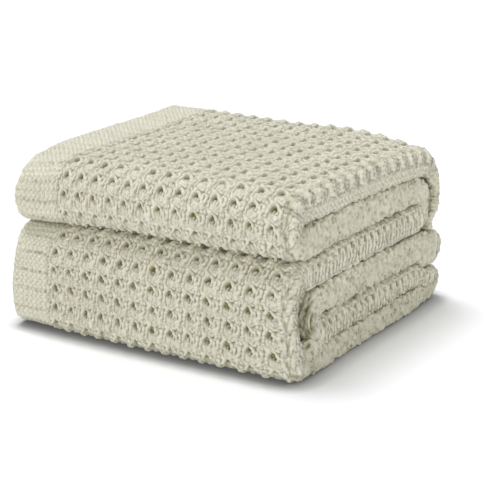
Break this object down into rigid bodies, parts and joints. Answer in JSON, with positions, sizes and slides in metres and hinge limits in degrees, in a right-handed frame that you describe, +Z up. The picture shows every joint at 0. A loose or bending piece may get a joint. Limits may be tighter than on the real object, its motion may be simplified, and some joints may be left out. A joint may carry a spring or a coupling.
{
  "type": "folded knitted blanket",
  "caption": "Chunky openwork knitted throw with a plain knitted side border, folded lengthwise and then back and forth into a square block.",
  "frame": {"origin": "middle of the underside of the folded block, on the surface it rests on", "axes": "+Z up, +X towards the rounded lengthwise fold, -X towards the knitted side border, -Y towards the front where the two big folds show"},
  "size_m": [0.325, 0.325, 0.178],
  "materials": {
    "knitted_yarn": "Cream cotton-like yarn, matt, thick and softly twisted, knitted in an open textured stitch with a fine plain border."
  },
  "bodies": {
    "root": {"knitted_blanket": "knitted_yarn"}
  },
  "joints": []
}
